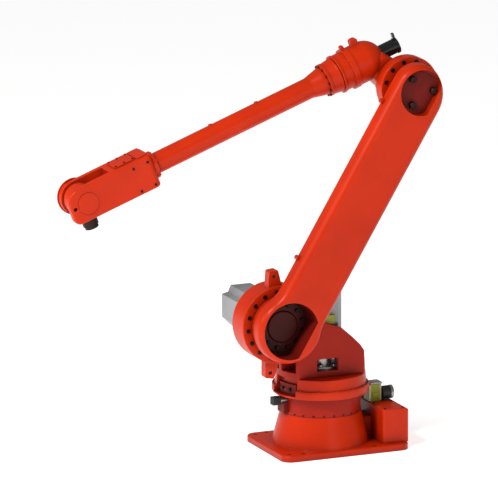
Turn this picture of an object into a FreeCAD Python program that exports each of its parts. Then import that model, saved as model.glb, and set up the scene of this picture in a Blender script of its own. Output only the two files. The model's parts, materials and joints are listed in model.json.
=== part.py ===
"""Six-axis industrial robot arm on a floor plate.

Origin on the floor under axis 1, +Z up, +X forward over the tool, +Y towards the lower arm.
Lengths in millimetres, angles in degrees.
"""
import FreeCAD, Part
import math
import os

V = FreeCAD.Vector

# ---------------------------------------------------------------- driving dimensions
FIT = 0.4                 # radial play of a turning spigot in its bore
GAP = 6.0                 # free space between pieces that move past each other

# Floor plate and pedestal
PLATE_FRONT = 277.0
PLATE_REAR = -345.0
PLATE_HALF_WIDTH = 237.0
PLATE_T = 30.0
PLATE_CORNER_R = 50.0
PLATE_EDGE_R = 7.0
ANCHOR_R = 11.0           # anchor holes, through the plate
ANCHOR_X = 175.0          # from the origin, to the front and to the rear
ANCHOR_Y = PLATE_HALF_WIDTH - 25.0
DOWEL_R = 8.0             # locating pin holes in the front corners
DOWEL_X = 235.0
DOWEL_Y = PLATE_HALF_WIDTH - 42.0
PEDESTAL_FOOT_R = 222.0
PEDESTAL_TOP_R = 184.0
PEDESTAL_TOP_Z = 172.0
PEDESTAL_WALL = 26.0
PEDESTAL_ROOF = 28.0
CABLE_DUCT_HALF_W = 62.0
CABLE_DUCT_TOP = 128.0

# Axis 1 gear ring, stop and turret skirt
RING_R = 181.0
RING_TOP_Z = 268.0
RING_BORE_R = 112.0
STOP_AZIMUTH = 4.0
STOP_Z = 236.0
STOP_REACH = 246.0
STOP_BLOCK = 36.0
SKIRT_LIP_R = 221.0
SKIRT_LIP_BOTTOM_Z = 262.0
SKIRT_LIP_TOP_Z = 299.0
SKIRT_CONE_R = 208.0
SKIRT_TOP_R = 204.0
SKIRT_TOP_Z = 350.0
DOG_AZIMUTH = 15.0        # middle of the bolted pocket in the skirt
DOG_SPAN = 42.0

# Connection box behind the pedestal
BOX_INNER_X = -222.0
BOX_HALF_WIDTH = 200.0
BOX_TOP_Z = 188.0
BOX_EDGE_R = 14.0

# Turret
TURRET_R = 204.0
TURRET_HALF_WIDTH = 127.0
TURRET_WALL = 26.0
TURRET_FLOOR_Z = 372.0
TURRET_FRONT_TOP_Z = 500.0
CARRIER_R = 124.0
CARRIER_BACK_Y = -58.0

# Axis 2 gear housing
AXIS2_X = 262.0
AXIS2_Z = 619.0
DRUM_R = 179.0
DRUM_BACK_Y = 23.0
DRUM_FRONT_Y = 145.0
DRUM_BORE_R = 96.0
DRUM_BOLT_RING_R = 153.0
DRUM_BOLT_HOLE_R = 7.0
DRUM_BOLTS = 16
EAR_REACH = 250.0
EAR_BASE_W = 72.0
EAR_TOP_W = 42.0
EAR_HOLE_R = 9.0
EAR_T = 46.0
EAR_ANGLES = (85.0, -80.0)

# Servo motors
MOTOR2_HALF = 92.0
MOTOR2_END_Y = -303.0
MOTOR1_HALF = 80.0
MOTOR1_TOP_Z = 735.0
MOTOR3_HALF = 50.0
MOTOR3_END_Y = -215.0

# Lower arm
ARM_LENGTH = 1216.0       # axis 2 to axis 3, along the arm
ARM_LEAN = 31.25          # degrees back from upright
ARM_FACE_Y = 284.0
ARM_T = 76.0
ARM_FRONT = 116.0         # from the line of the axes to the front edge
ARM_REAR = 135.0          # and to the rear edge
ARM_EDGE_R = 34.0
ARM_WALL = 30.0
ARM_CROWN_R = 160.0       # large arc at the rear of the arm's head
ARM_CROWN_DROP = 36.0     # centre of that arc below axis 3
ARM_NOSE_R = 110.0        # smaller arc that follows it to the front edge
LUG_HEIGHTS = (304.0, 1098.0)
HUB_R = 153.0
HUB_POCKET_R = 131.0
HUB_POCKET_DEPTH = 118.0
HUB_FLAT = 95.0           # the hub's pocket stops at this distance to the rear
HUB_SPACER_R = 137.0
HUB_SPACER_START = 6.5    # free space between the gear housing's face and the hub
HUB_FLARE_R = 190.0       # hollow flare from the arm's straight edges into the hub
ELBOW_POCKET_R = 105.0
ELBOW_POCKET_DEPTH = 46.0
ELBOW_FLAT = 84.0
ELBOW_BOLT_R = 68.0
ELBOW_BOLT_START = 29.0

# Elbow
ELBOW_DRUM_R = 139.5
ELBOW_DRUM_BACK_Y = 84.0
ELBOW_DRUM_FRONT_Y = 145.0
ELBOW_HUB_BACK_R = 84.0
ELBOW_HUB_FRONT_R = 124.0
ELBOW_HUB_BACK_Y = -62.0
ELBOW_SPACER_R = 96.0
ELBOW_BOLT_RING_R = 120.0
ELBOW_PIVOT_R = 60.0
ELBOW_BOLTS = 12
OFFSET3 = 156.4           # forearm axis above axis 3
FOREARM_DIP = 20.5        # degrees the forearm points below level
BARREL_R = 92.0
BARREL_DOME = 115.5       # centre of the domed rear of the barrel
BARREL_FRONT = 179.5
NOSE_FLANGE_R = 96.0
NOSE_FLANGE_END = 205.5
SLEEVE_R = 86.0
SLEEVE_END = 259.5
REAR_TUBE_ROOT = 53.5
REAR_TUBE_R = 34.0
REAR_TUBE_END = -60.0
REAR_FLANGE_R = 38.0

# Forearm
ROLL_RING_START = 262.5
ROLL_RING_R = 79.0
ROLL_FLANGE_R = 77.0
ROLL_RING_END = 324.5
CONE_START_R = 64.0
CONE_END = 405.5
TUBE_R = 48.0
TUBE_WALL = 9.0
TUBE_END = 1205.5
WRIST_DISC_R = 64.0
WRIST_DISC_T = 20.0

# Wrist
FORK_START = 1225.5
FORK_BLOCK_END = 1426.0
FORK_HALF_WIDTH = 81.0
FORK_INNER = 48.0
FORK_HALF_HEIGHT = 79.0
FORK_EDGE_R = 11.0
FORK_TIP = 1664.0         # front end of the cheeks
FORK_TIP_R = 60.0         # upper front corner of the near cheek
FORK_HEEL_R = 34.0        # lower front corner
CHEEK_HOLE_R = 9.0
CHEEK_HOLE_S = 1642.0
FORK_REAR_R = 26.0
AXIS5 = 1576.5
FAR_CAP_R = 84.0
FAR_CAP_T = 9.0
NEAR_CAP_R = 48.0
NEAR_CAP_T = 4.0
WRIST_BLOCK_R = 71.0
WRIST_BLOCK_HALF = 42.0
WRIST_PIN_R = 26.0
NECK_R = 37.0
NECK_END = 80.0           # axis 5 to the end of the wrist block's neck
FLANGE_FACE = 138.0       # axis 5 to the tool face
FLANGE_DRUM_R = 36.0
FLANGE_DRUM_END = 124.0
FLANGE_R = 31.5
SPIGOT_LENGTH = 20.0
SPIGOT_R = 16.0
FLANGE_PILOT_R = 12.5
FLANGE_PILOT_DEPTH = 8.0
FLANGE_BOLT_RING_R = 20.0
FLANGE_BOLT_R = 3.0

# ---------------------------------------------------------------- helpers
ORIGIN = V(0, 0, 0)
UP = V(0, 0, 1)
ALONG_X = V(1, 0, 0)
ALONG_Y = V(0, 1, 0)


def cylinder(radius, start, end):
    """Round bar between two points."""
    axis = end.sub(start)
    return Part.makeCylinder(radius, axis.Length, start, axis)


def cone(r_start, r_end, start, end):
    axis = end.sub(start)
    return Part.makeCone(r_start, r_end, axis.Length, start, axis)


def box(x0, x1, y0, y1, z0, z1):
    return Part.makeBox(x1 - x0, y1 - y0, z1 - z0, V(x0, y0, z0))


def y_bar(radius, x, z, y0, y1):
    """Round bar along Y between y0 and y1."""
    return Part.makeCylinder(radius, y1 - y0, V(x, y0, z), ALONG_Y)


def z_bar(radius, x, y, z0, z1):
    return Part.makeCylinder(radius, z1 - z0, V(x, y, z0), UP)


def prism_y(points, y0, y1):
    """Plate with the outline points (x, z), from y0 to y1."""
    loop = [V(x, y0, z) for x, z in points]
    face = Part.Face(Part.makePolygon(loop + [loop[0]]))
    return face.extrude(V(0, y1 - y0, 0))


def fuse(first, *others):
    return first.multiFuse(list(others)).removeSplitter()


def polar(radius, angle, centre=ORIGIN):
    """Point in the XY plane, angle from +X."""
    a = math.radians(angle)
    return V(centre.x + radius * math.cos(a), centre.y + radius * math.sin(a), centre.z)


def polar_xz(radius, angle, x, y, z):
    """Point around an axis along Y, angle from +X up towards +Z."""
    a = math.radians(angle)
    return V(x + radius * math.cos(a), y, z + radius * math.sin(a))


def revolve_z(points):
    """Solid of revolution about Z from the outline points (radius, z)."""
    loop = [V(r, 0, z) for r, z in points]
    face = Part.Face(Part.makePolygon(loop + [loop[0]]))
    return face.revolve(ORIGIN, UP, 360)


def revolve_x(points):
    """Solid of revolution about X from the outline points (x, radius)."""
    loop = [V(x, 0, r) for x, r in points]
    face = Part.Face(Part.makePolygon(loop + [loop[0]]))
    return face.revolve(ORIGIN, ALONG_X, 360)


def edges_along(shape, direction, keep=lambda middle: True):
    """Straight edges parallel to direction whose middle point passes keep."""
    found = []
    for edge in shape.Edges:
        if edge.Curve.TypeId != "Part::GeomLine":
            continue
        tangent = edge.tangentAt(edge.FirstParameter)
        if abs(abs(tangent.dot(direction)) - 1.0) > 1e-6:
            continue
        if keep(edge.CenterOfMass):
            found.append(edge)
    return found


def edges_at_y(shape, y):
    """Edges that lie wholly in the plane at y."""
    found = []
    for edge in shape.Edges:
        bounds = edge.BoundBox
        if abs(bounds.YMin - y) < 1e-4 and abs(bounds.YMax - y) < 1e-4:
            found.append(edge)
    return found


def place_arm(shape):
    """From the arm's own frame, upright on axis 2, to its place on the robot."""
    placed = shape.copy()
    placed.rotate(ORIGIN, ALONG_Y, -ARM_LEAN)
    placed.translate(V(AXIS2_X, 0, AXIS2_Z))
    return placed


LEAN = math.radians(ARM_LEAN)
ELBOW_X = (ARM_FRONT - ARM_REAR) / 2.0   # axis 3 lies in the middle of the arm's width
AXIS3_X = AXIS2_X + ELBOW_X * math.cos(LEAN) - ARM_LENGTH * math.sin(LEAN)
AXIS3_Z = AXIS2_Z + ELBOW_X * math.sin(LEAN) + ARM_LENGTH * math.cos(LEAN)
DIP = math.radians(FOREARM_DIP)
FOOT_X = AXIS3_X + OFFSET3 * math.sin(DIP)
FOOT_Z = AXIS3_Z + OFFSET3 * math.cos(DIP)


def place_forearm(shape):
    """From the forearm's frame, +X along its axis from the foot above axis 3, to the robot."""
    placed = shape.copy()
    placed.rotate(ORIGIN, ALONG_Y, FOREARM_DIP)
    placed.translate(V(FOOT_X, 0, FOOT_Z))
    return placed


# ---------------------------------------------------------------- base
def base_casting():
    """Floor plate with a hollow conical pedestal and a closed cable duct to the rear."""
    plate = box(PLATE_REAR, PLATE_FRONT, -PLATE_HALF_WIDTH, PLATE_HALF_WIDTH, 0, PLATE_T)
    plate = plate.makeFillet(PLATE_CORNER_R, edges_along(plate, UP))
    rim = [e for e in plate.Edges if abs(e.BoundBox.ZMin - PLATE_T) < 1e-4]
    plate = plate.makeFillet(PLATE_EDGE_R, rim)
    cone_body = cone(PEDESTAL_FOOT_R, PEDESTAL_TOP_R, V(0, 0, PLATE_T - 2), V(0, 0, PEDESTAL_TOP_Z))
    duct = box(BOX_INNER_X, -PEDESTAL_TOP_R * 0.6, -CABLE_DUCT_HALF_W, CABLE_DUCT_HALF_W,
               PLATE_T - 2, CABLE_DUCT_TOP)
    casting = fuse(plate, cone_body, duct)
    cavity = cone(PEDESTAL_FOOT_R - PEDESTAL_WALL, PEDESTAL_TOP_R - PEDESTAL_WALL,
                  V(0, 0, -1), V(0, 0, PEDESTAL_TOP_Z - PEDESTAL_ROOF))
    throat = z_bar(RING_BORE_R, 0, 0, 0, PEDESTAL_TOP_Z + 1)
    casting = casting.cut(cavity).cut(throat)
    for x, y in anchor_points():
        casting = casting.cut(z_bar(ANCHOR_R, x, y, -1, PLATE_T + 1))
    for y in (-DOWEL_Y, DOWEL_Y):
        casting = casting.cut(z_bar(DOWEL_R, DOWEL_X, y, -1, PLATE_T + 1))
    return casting


def anchor_points():
    """Four holes for the floor anchors, centred on axis 1."""
    return [(x, y) for x in (-ANCHOR_X, ANCHOR_X) for y in (-ANCHOR_Y, ANCHOR_Y)]


def axis1_gear_ring():
    """Fixed housing of the axis 1 gear, bolted on the pedestal."""
    outline = [(RING_BORE_R, PEDESTAL_TOP_Z), (RING_R, PEDESTAL_TOP_Z), (RING_R, RING_TOP_Z),
               (RING_BORE_R, RING_TOP_Z)]
    return revolve_z(outline)


def stop_frame(shape):
    """Turn a piece drawn along +X to the stop's azimuth."""
    placed = shape.copy()
    placed.rotate(ORIGIN, UP, STOP_AZIMUTH)
    return placed


def stop_bracket():
    """Angle bracket of the axis 1 stop, on the gear ring."""
    foot = box(RING_R - 8, RING_R + 22, -30, 30, PEDESTAL_TOP_Z + 10, STOP_Z - 6)
    foot = foot.cut(z_bar(RING_R, 0, 0, PEDESTAL_TOP_Z, RING_TOP_Z))
    return stop_frame(foot)


def stop_bush():
    """Steel carrier between the bracket and the rubber block."""
    bar = cylinder(21, V(RING_R - 8, 0, STOP_Z), V(STOP_REACH - STOP_BLOCK, 0, STOP_Z))
    bar = bar.cut(z_bar(RING_R, 0, 0, PEDESTAL_TOP_Z, RING_TOP_Z))
    seat = box(RING_R - 8, RING_R + 22, -30, 30, PEDESTAL_TOP_Z + 10, STOP_Z - 6)
    return stop_frame(bar.cut(seat))


def stop_buffer():
    """Square rubber block of the axis 1 stop."""
    half = STOP_BLOCK / 2.0
    block = box(STOP_REACH - STOP_BLOCK, STOP_REACH, -half, half, STOP_Z - half, STOP_Z + half)
    block = block.makeFillet(3, edges_along(block, ALONG_X))
    return stop_frame(block)


def connection_box():
    """Closed box of the cable connections, on the rear of the plate."""
    body = box(PLATE_REAR + 6, BOX_INNER_X, -BOX_HALF_WIDTH, BOX_HALF_WIDTH, PLATE_T, BOX_TOP_Z)
    body = body.makeFillet(BOX_EDGE_R, edges_along(body, UP, lambda m: m.x > BOX_INNER_X - 1))
    top = [e for e in body.Edges if abs(e.BoundBox.ZMin - BOX_TOP_Z) < 1e-4]
    body = body.makeFillet(5, top)
    return body


def box_rear_cover():
    """Flat cover plate over the back of the connection box."""
    plate = box(PLATE_REAR, PLATE_REAR + 6, -BOX_HALF_WIDTH, BOX_HALF_WIDTH, PLATE_T, BOX_TOP_Z - 6)
    return plate


def power_connector():
    """Rectangular plug housing standing on the connection box."""
    front = -SKIRT_LIP_R - GAP - 1
    body = box(front - 60, front, -30, 30, BOX_TOP_Z, BOX_TOP_Z + 76)
    return body.makeFillet(4, edges_along(body, UP))


def power_connector_cap():
    """Flat lid and latch on the plug housing."""
    front = -SKIRT_LIP_R - GAP - 11
    return box(front - 56, front, -26, 26, BOX_TOP_Z + 76, BOX_TOP_Z + 84)


def signal_connector():
    """Round plug lying on the box, pointing to the rear."""
    z = BOX_TOP_Z + 34
    barrel = cylinder(30, V(-330, 20, z), V(-292, 20, z))
    foot = box(-322, -296, 2, 38, BOX_TOP_Z, z)
    return fuse(barrel, foot)


def signal_connector_ring():
    """Steel coupling ring at the end of the round plug."""
    z = BOX_TOP_Z + 34
    ring = cylinder(31, V(-343, 20, z), V(-330, 20, z))
    return ring.cut(cylinder(21, V(-344, 20, z), V(-335, 20, z)))


# ---------------------------------------------------------------- turret
def turret_skirt():
    """Turning table with a dust lip over the gear ring and a spigot in its bore."""
    spigot_r = RING_BORE_R - FIT
    outline = [(0, RING_TOP_Z - 60), (spigot_r, RING_TOP_Z - 60), (spigot_r, RING_TOP_Z + GAP),
               (RING_R + GAP, RING_TOP_Z + GAP), (RING_R + GAP, SKIRT_LIP_BOTTOM_Z),
               (SKIRT_LIP_R - 4, SKIRT_LIP_BOTTOM_Z), (SKIRT_LIP_R, SKIRT_LIP_BOTTOM_Z + 8),
               (SKIRT_LIP_R, SKIRT_LIP_TOP_Z - 6), (SKIRT_LIP_R - 3, SKIRT_LIP_TOP_Z),
               (SKIRT_CONE_R, SKIRT_LIP_TOP_Z), (SKIRT_TOP_R, SKIRT_TOP_Z), (0, SKIRT_TOP_Z)]
    skirt = revolve_z(outline)
    lo = DOG_AZIMUTH - DOG_SPAN / 2.0
    pocket = Part.makeCylinder(SKIRT_LIP_R + 20, SKIRT_TOP_Z - SKIRT_LIP_BOTTOM_Z - 9 + 20,
                               V(0, 0, SKIRT_LIP_BOTTOM_Z + 9), UP, DOG_SPAN)
    pocket.rotate(ORIGIN, UP, lo)
    pocket = pocket.cut(z_bar(SKIRT_TOP_R - 22, 0, 0, 0, SKIRT_TOP_Z + 50))
    return skirt.cut(pocket)


def skirt_pocket_bracket():
    """Curved clamp piece bolted in the skirt's pocket."""
    lo = DOG_AZIMUTH - DOG_SPAN / 2.0 + 3
    inner = SKIRT_TOP_R - 22
    piece = Part.makeCylinder(inner + 14, 50, V(0, 0, SKIRT_LIP_BOTTOM_Z + 9), UP, DOG_SPAN - 6)
    piece.rotate(ORIGIN, UP, lo)
    piece = piece.cut(z_bar(inner, 0, 0, 0, SKIRT_TOP_Z + 50))
    for angle in (DOG_AZIMUTH - 7, DOG_AZIMUTH + 7):
        head_start = polar(inner + 12, angle, V(0, 0, SKIRT_LIP_BOTTOM_Z + 34))
        head_end = polar(inner + 24, angle, V(0, 0, SKIRT_LIP_BOTTOM_Z + 34))
        piece = piece.fuse(cylinder(8, head_start, head_end))
    return piece.removeSplitter()


def turret_profile(inset):
    """Side outline of the turret's walls, stepped down towards the rear."""
    z0 = SKIRT_TOP_Z
    return [(-171 + inset, z0), (-171 + inset, 385), (-161 + inset, 456), (-141 + inset, 486),
            (-101, 526 - inset), (-48, 573 - inset), (40, 604 - inset), (TURRET_R, 632 - inset),
            (TURRET_R, z0)]


def turret_casting():
    """Hollow upright housing, round in plan, flat on both sides, that carries axis 2."""
    shell = prism_y(turret_profile(0), -TURRET_HALF_WIDTH, TURRET_HALF_WIDTH)
    shell = shell.common(z_bar(TURRET_R, 0, 0, SKIRT_TOP_Z, 700))
    inner_half = TURRET_HALF_WIDTH - TURRET_WALL
    hollow = box(-TURRET_R, TURRET_R, -inner_half, inner_half, TURRET_FLOOR_Z, 720)
    hollow = hollow.common(z_bar(TURRET_R - TURRET_WALL, 0, 0, TURRET_FLOOR_Z, 720))
    shell = shell.cut(hollow)
    # The front wall stops under the axis 2 motor.
    shell = shell.cut(box(60, TURRET_R + 1, -TURRET_HALF_WIDTH - 1, CARRIER_BACK_Y,
                          TURRET_FRONT_TOP_Z, 720))
    shell = shell.cut(box(60, TURRET_R + 1, CARRIER_BACK_Y - 1, DRUM_BACK_Y,
                          TURRET_FRONT_TOP_Z + 70, 720))
    carrier = y_bar(CARRIER_R, AXIS2_X, AXIS2_Z, CARRIER_BACK_Y, DRUM_BACK_Y)
    web_points = [(100, TURRET_FLOOR_Z), (150, TURRET_FLOOR_Z), (200, 420), (300, 500),
                  (330, 530), (200, 700), (150, 660), (100, 570)]
    web = prism_y(web_points, CARRIER_BACK_Y, DRUM_BACK_Y)
    casting = fuse(shell, carrier, web)
    # Seat of the axis 2 gear housing in the near wall.
    seat = y_bar(DRUM_R, AXIS2_X, AXIS2_Z, DRUM_BACK_Y, TURRET_HALF_WIDTH + 40)
    casting = casting.cut(seat)
    casting = casting.cut(y_bar(70, AXIS2_X, AXIS2_Z, CARRIER_BACK_Y - 1, DRUM_BACK_Y + 1))
    # Windows over the gear, in the near wall and in the curved front wall.
    casting = casting.cut(box(-33, 71, inner_half - 1, TURRET_HALF_WIDTH + 1, 377, 435))
    front_window = box(100, TURRET_R + 10, 24, TURRET_HALF_WIDTH - 14, 377, 437)
    casting = casting.cut(front_window)
    casting = casting.cut(box(100, TURRET_R + 10, -90, 0, 377, 437))
    # Cable slot in the flat far wall.
    casting = casting.cut(box(-33, 71, -TURRET_HALF_WIDTH - 1, -inner_half + 1, 377, 435))
    return casting


def axis1_gear_cover():
    """Round steel cover over the axis 1 gear, on the turret's floor."""
    plate = z_bar(96, 0, 0, TURRET_FLOOR_Z, TURRET_FLOOR_Z + 14)
    boss = z_bar(62, 0, 0, TURRET_FLOOR_Z + 14, TURRET_FLOOR_Z + 60)
    cover = fuse(plate, boss)
    for k in range(8):
        p = polar(82, 22.5 + 45 * k)
        cover = cover.fuse(Part.makeCylinder(8, 9, V(p.x, p.y, TURRET_FLOOR_Z + 14), UP))
    return cover.removeSplitter()


def notched_square(half, notch, chamfer):
    """Motor section: upper corners notched, lower corners chamfered. Points (a, b)."""
    n, c = notch, chamfer
    return [(-half + 1.45 * n, half), (half - 1.45 * n, half), (half - n, half - n),
            (half, half - 1.25 * n), (half, -half + c), (half - c, -half), (-half + c, -half),
            (-half, -half + c), (-half, half - 1.25 * n), (-half + n, half - n)]


def axis2_motor():
    """Servo motor of axis 2, along -Y from the carrier."""
    points = [(AXIS2_X + a, AXIS2_Z + b) for a, b in notched_square(MOTOR2_HALF, 30.0, 40.0)]
    body = prism_y(points, MOTOR2_END_Y + 52, CARRIER_BACK_Y - 16)
    spigot = y_bar(69.6, AXIS2_X, AXIS2_Z, CARRIER_BACK_Y - 16, CARRIER_BACK_Y + 30)
    return fuse(body, spigot)


def axis2_motor_flange():
    """Square mounting flange between the motor and the carrier."""
    h = MOTOR2_HALF
    plate = box(AXIS2_X - h, AXIS2_X + h, CARRIER_BACK_Y - 16, CARRIER_BACK_Y, AXIS2_Z - h, AXIS2_Z + h)
    plate = plate.makeChamfer(38, edges_along(plate, ALONG_Y))
    return plate.cut(y_bar(69.6, AXIS2_X, AXIS2_Z, CARRIER_BACK_Y - 17, CARRIER_BACK_Y + 1))


def axis2_motor_end_cover():
    """Resolver cover on the motor's free end."""
    points = [(AXIS2_X + a, AXIS2_Z + b) for a, b in notched_square(MOTOR2_HALF, 30.0, 40.0)]
    return prism_y(points, MOTOR2_END_Y, MOTOR2_END_Y + 52)


def axis1_motor():
    """Servo motor of axis 1, upright on the gear cover inside the turret."""
    half = MOTOR1_HALF
    z0 = TURRET_FLOOR_Z + 60
    body = box(-half, half, -half, half, z0 + 14, MOTOR1_TOP_Z - 60)
    body = body.makeChamfer(26, edges_along(body, UP))
    flange = box(-half, half, -half, half, z0, z0 + 14)
    flange = flange.makeChamfer(16, edges_along(flange, UP))
    return fuse(body, flange)


def axis1_motor_end_cover():
    """Resolver cover on top of the axis 1 motor."""
    half = MOTOR1_HALF
    cover = box(-half, half, -half, half, MOTOR1_TOP_Z - 60, MOTOR1_TOP_Z)
    return cover.makeChamfer(26, edges_along(cover, UP))


def axis1_power_plug():
    """Plug of the axis 1 motor, on its near face."""
    return box(-30, 22, MOTOR1_HALF, MOTOR1_HALF + 20, 588, 628)


def axis1_signal_plug():
    """Dark terminal block under the plug, on the motor's near face."""
    return box(-42, 20, MOTOR1_HALF, MOTOR1_HALF + 20, 528, 588)


def axis2_gear_housing():
    """Drum of the axis 2 gear with its bolt ring and two lifting ears."""
    drum = y_bar(DRUM_R, AXIS2_X, AXIS2_Z, DRUM_BACK_Y, DRUM_FRONT_Y)
    drum = drum.makeFillet(4, edges_at_y(drum, DRUM_FRONT_Y))
    for angle in EAR_ANGLES:
        drum = drum.fuse(ear(angle))
    bore = y_bar(DRUM_BORE_R, AXIS2_X, AXIS2_Z, DRUM_BACK_Y - 1, DRUM_FRONT_Y + 1)
    drum = drum.cut(bore)
    for k in range(DRUM_BOLTS):
        angle = -5.2 + 360.0 / DRUM_BOLTS * k
        p = polar_xz(DRUM_BOLT_RING_R, angle, AXIS2_X, DRUM_FRONT_Y - 14, AXIS2_Z)
        drum = drum.cut(Part.makeCylinder(DRUM_BOLT_HOLE_R, 20, p, ALONG_Y))
    return drum.removeSplitter()


def ear(angle):
    """Tapered lug with a cross hole, standing on the drum's rim."""
    y0 = (DRUM_BACK_Y + DRUM_FRONT_Y) / 2.0 - EAR_T / 2.0 + 22
    half_base = EAR_BASE_W / 2.0
    half_top = EAR_TOP_W / 2.0
    root = DRUM_R - 20
    lug = prism_y([(root, -half_base), (EAR_REACH, -half_top), (EAR_REACH, half_top),
                   (root, half_base)], y0, y0 + EAR_T)
    tip = edges_along(lug, ALONG_Y, lambda m: m.x > EAR_REACH - 1)
    lug = lug.makeFillet(8, tip)
    lug = lug.cut(y_bar(EAR_HOLE_R, EAR_REACH - 26, 0, y0 - 1, y0 + EAR_T + 1))
    lug.rotate(ORIGIN, ALONG_Y, -angle)
    lug.translate(V(AXIS2_X, 0, AXIS2_Z))
    return lug


def axis2_gear_shaft():
    """Turning output flange of the axis 2 gear, in the drum's bore."""
    r = DRUM_BORE_R - FIT
    return y_bar(r, AXIS2_X, AXIS2_Z, DRUM_BACK_Y + 14, DRUM_FRONT_Y + HUB_SPACER_START)


# ---------------------------------------------------------------- lower arm
def flare(edge_x, y0, y1):
    """Hollow web between the hub and the arm's straight edge at edge_x > 0."""
    cx = edge_x + HUB_FLARE_R
    cz = math.sqrt((HUB_R + HUB_FLARE_R) ** 2 - cx ** 2)
    web = box(0, cx, y0, y1, 0, cz)
    web = web.cut(y_bar(HUB_FLARE_R, cx, cz, y0 - 1, y1 + 1))
    touch = HUB_R / (HUB_R + HUB_FLARE_R)
    keep = prism_y([(0, 0), (cx * touch, cz * touch), (cx, cz), (0, cz)], y0, y1)
    return web.common(keep)


def arm_head(y0, y1):
    """Head of the arm: a large arc from the rear edge runs into a smaller one at the front."""
    foot_z = ARM_LENGTH - ARM_CROWN_DROP
    crown = V(ARM_CROWN_R - ARM_REAR, y0, foot_z)
    reach = ARM_CROWN_R - ARM_NOSE_R
    turn = math.degrees(math.acos((ARM_FRONT - ARM_NOSE_R - crown.x) / reach))
    nose = polar_xz(reach, turn, crown.x, y0, crown.z)
    rear_foot = polar_xz(ARM_CROWN_R, 180, crown.x, y0, crown.z)
    joint = polar_xz(ARM_CROWN_R, turn, crown.x, y0, crown.z)
    front = polar_xz(ARM_NOSE_R, 0, nose.x, y0, nose.z)
    front_foot = V(ARM_FRONT, y0, foot_z)
    crown_arc = Part.Arc(rear_foot, polar_xz(ARM_CROWN_R, (180 + turn) / 2, crown.x, y0, crown.z), joint)
    nose_arc = Part.Arc(joint, polar_xz(ARM_NOSE_R, turn / 2, nose.x, y0, nose.z), front)
    edges = [crown_arc.toShape(), nose_arc.toShape(), Part.makeLine(front, front_foot),
             Part.makeLine(front_foot, rear_foot)]
    return Part.Face(Part.Wire(edges)).extrude(V(0, y1 - y0, 0))


def arm_blank(y0, y1):
    """Arm outline in its own frame: straight sides, round ends, flared into the hub."""
    shoulder = ARM_LENGTH - ARM_CROWN_DROP
    beam = box(-ARM_REAR, ARM_FRONT, y0, y1, 0, shoulder)
    hub = y_bar(HUB_R, 0, 0, y0, y1)
    rear_flare = flare(ARM_REAR, y0, y1).mirror(ORIGIN, ALONG_X)
    return fuse(beam, hub, arm_head(y0, y1), flare(ARM_FRONT, y0, y1), rear_flare)


def pocket(radius, x, z, depth, flat):
    """Round pocket from the outer face, cut straight along the arm's rear edge."""
    hole = y_bar(radius, x, z, ARM_FACE_Y - depth, ARM_FACE_Y + 1)
    keep = box(-flat, x + radius + 1, ARM_FACE_Y - depth - 1, ARM_FACE_Y + 2,
               z - radius - 1, z + radius + 1)
    return hole.common(keep)


def lower_arm():
    """Cast arm: one thick plate with a deep hub on axis 2 and a pocket at axis 3."""
    back = ARM_FACE_Y - ARM_T
    body = arm_blank(back, ARM_FACE_Y)
    rim = edges_at_y(body, ARM_FACE_Y)
    body = body.makeFillet(ARM_EDGE_R, rim)
    spacer = y_bar(HUB_SPACER_R, 0, 0, DRUM_FRONT_Y + HUB_SPACER_START, back + 1)
    elbow_spacer = y_bar(ELBOW_SPACER_R, ELBOW_X, ARM_LENGTH, ELBOW_DRUM_FRONT_Y + GAP, back + 1)
    body = fuse(body, spacer, elbow_spacer)
    body = body.cut(pocket(HUB_POCKET_R, 0, 0, HUB_POCKET_DEPTH, HUB_FLAT))
    body = body.cut(pocket(ELBOW_POCKET_R, ELBOW_X, ARM_LENGTH, ELBOW_POCKET_DEPTH, ELBOW_FLAT))
    # Hollow beam, open at the back between the two hubs.
    trough = box(-ARM_REAR + ARM_WALL, ARM_FRONT - ARM_WALL, back - 1, ARM_FACE_Y - ARM_WALL,
                 HUB_R + 60, ARM_LENGTH - ARM_REAR - 50)
    trough = trough.makeFillet(30, edges_along(trough, ALONG_Y))
    body = body.cut(trough)
    body = body.cut(y_bar(74, 0, 0, DRUM_FRONT_Y, ARM_FACE_Y - HUB_POCKET_DEPTH + 1))
    return place_arm(body)


def arm_lugs():
    """Small tapped lugs on the arm's front edge, for the cable harness."""
    back = ARM_FACE_Y - ARM_T
    lugs = []
    for z in LUG_HEIGHTS:
        lug = y_bar(11, ARM_FRONT + 4, z, back, back + 26)
        lug = lug.cut(box(0, ARM_FRONT, back - 1, back + 40, z - 30, z + 30))
        lugs.append(place_arm(lug))
    return Part.makeCompound(lugs)


def hub_bearing_ring():
    """Steel bolt ring on the floor of the hub's pocket."""
    y0 = ARM_FACE_Y - HUB_POCKET_DEPTH
    ring = y_bar(118, 0, 0, y0, y0 + 10)
    ring = ring.common(box(-HUB_FLAT, 200, y0 - 1, y0 + 30, -200, 200))
    ring = ring.cut(y_bar(74, 0, 0, y0 - 1, y0 + 31))
    for k in range(12):
        p = polar_xz(97, 15 + 30 * k, 0, y0 + 10, 0)
        if p.x > -HUB_FLAT + 10:
            ring = ring.fuse(Part.makeCylinder(9, 9, p, ALONG_Y))
    return place_arm(ring.removeSplitter())


def hub_gear_cap():
    """Domed centre cap over the gear's input, deep in the hub."""
    y0 = DRUM_FRONT_Y + HUB_SPACER_START
    cap = y_bar(73.6, 0, 0, y0, ARM_FACE_Y - HUB_POCKET_DEPTH + 16)
    cap = cap.makeFillet(8, edges_at_y(cap, ARM_FACE_Y - HUB_POCKET_DEPTH + 16))
    return place_arm(cap)


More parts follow.
